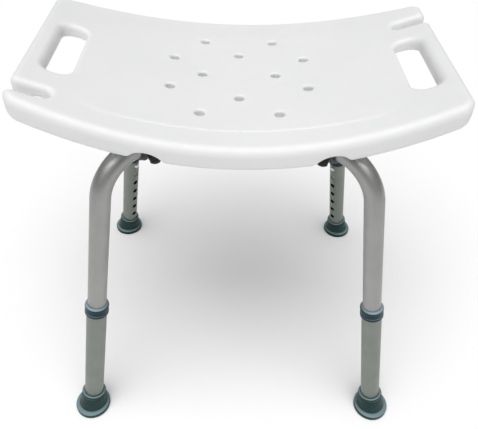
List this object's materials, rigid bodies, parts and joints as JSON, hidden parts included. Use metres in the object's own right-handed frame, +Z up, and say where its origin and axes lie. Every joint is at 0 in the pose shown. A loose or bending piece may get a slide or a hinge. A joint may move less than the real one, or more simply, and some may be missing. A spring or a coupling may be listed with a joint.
{
  "type": "shower stool",
  "caption": "Backless shower stool: moulded saddle seat with hand slots, hose notches and drain holes, on splayed telescoping legs with snap-button height locks and rubber feet.",
  "frame": {"origin": "centre of the footprint on the floor", "axes": "+Z up, +X to the right of someone facing the front of the stool, -Y towards the front, all in metres"},
  "size_m": [0.512, 0.4604, 0.5248],
  "materials": {
    "seat_plastic": "fine satin blow-moulded polyethylene",
    "aluminium": "satin anodised",
    "teal_plastic": "semi-matt moulded",
    "foot_rubber": "smooth moulded rubber",
    "black_plastic": "semi-matt moulded",
    "steel": "zinc plated"
  },
  "bodies": {
    "seat_frame": {"seat_shell": "seat_plastic", "vent_plug": "seat_plastic", "cross_hub": "black_plastic", "hub_centre_screw": "steel", "leg_tube_front_left": "aluminium", "leg_clamp_front_left": "black_plastic", "clamp_screw_a_front_left": "steel", "clamp_screw_b_front_left": "steel", "tube_screw_front_left": "steel", "leg_tube_front_right": "aluminium", "leg_clamp_front_right": "black_plastic", "clamp_screw_a_front_right": "steel", "clamp_screw_b_front_right": "steel", "tube_screw_front_right": "steel", "leg_tube_back_left": "aluminium", "leg_clamp_back_left": "black_plastic", "clamp_screw_a_back_left": "steel", "clamp_screw_b_back_left": "steel", "tube_screw_back_left": "steel", "leg_tube_back_right": "aluminium", "leg_clamp_back_right": "black_plastic", "clamp_screw_a_back_right": "steel", "clamp_screw_b_back_right": "steel", "tube_screw_back_right": "steel"},
    "lower_leg_front_left": {"leg_sleeve_front_left": "aluminium", "sleeve_collar_front_left": "teal_plastic", "rubber_foot_front_left": "foot_rubber", "foot_washer_front_left": "steel"},
    "button_front_left": {"snap_button_front_left": "steel", "button_spring_front_left": "steel"},
    "lower_leg_front_right": {"leg_sleeve_front_right": "aluminium", "sleeve_collar_front_right": "teal_plastic", "rubber_foot_front_right": "foot_rubber", "foot_washer_front_right": "steel"},
    "button_front_right": {"snap_button_front_right": "steel", "button_spring_front_right": "steel"},
    "lower_leg_back_left": {"leg_sleeve_back_left": "aluminium", "sleeve_collar_back_left": "teal_plastic", "rubber_foot_back_left": "foot_rubber", "foot_washer_back_left": "steel"},
    "button_back_left": {"snap_button_back_left": "steel", "button_spring_back_left": "steel"},
    "lower_leg_back_right": {"leg_sleeve_back_right": "aluminium", "sleeve_collar_back_right": "teal_plastic", "rubber_foot_back_right": "foot_rubber", "foot_washer_back_right": "steel"},
    "button_back_right": {"snap_button_back_right": "steel", "button_spring_back_right": "steel"}
  },
  "joints": [
    {"name": "leg_height_front_left", "type": "slide", "parent": "seat_frame", "child": "lower_leg_front_left", "axis": [0.1492, 0.1353, 0.9795], "range_m": [0, 0.144]},
    {"name": "leg_height_front_right", "type": "slide", "parent": "seat_frame", "child": "lower_leg_front_right", "axis": [-0.1492, 0.1353, 0.9795], "range_m": [0, 0.144]},
    {"name": "leg_height_back_left", "type": "slide", "parent": "seat_frame", "child": "lower_leg_back_left", "axis": [0.1492, -0.1353, 0.9795], "range_m": [0, 0.144]},
    {"name": "leg_height_back_right", "type": "slide", "parent": "seat_frame", "child": "lower_leg_back_right", "axis": [-0.1492, -0.1353, 0.9795], "range_m": [0, 0.144]},
    {"name": "button_press_front_left", "type": "slide", "parent": "seat_frame", "child": "button_front_left", "axis": [-0.7256, -0.658, 0.2014], "range_m": [0, 0.005], "stiffness_N_per_m": 800, "deforming": ["button_spring_front_left"]},
    {"name": "button_press_front_right", "type": "slide", "parent": "seat_frame", "child": "button_front_right", "axis": [0.7256, -0.658, 0.2014], "range_m": [0, 0.005], "stiffness_N_per_m": 800, "deforming": ["button_spring_front_right"]},
    {"name": "button_press_back_left", "type": "slide", "parent": "seat_frame", "child": "button_back_left", "axis": [-0.7256, 0.658, 0.2014], "range_m": [0, 0.005], "stiffness_N_per_m": 800, "deforming": ["button_spring_back_left"]},
    {"name": "button_press_back_right", "type": "slide", "parent": "seat_frame", "child": "button_back_right", "axis": [0.7256, 0.658, 0.2014], "range_m": [0, 0.005], "stiffness_N_per_m": 800, "deforming": ["button_spring_back_right"]}
  ]
}
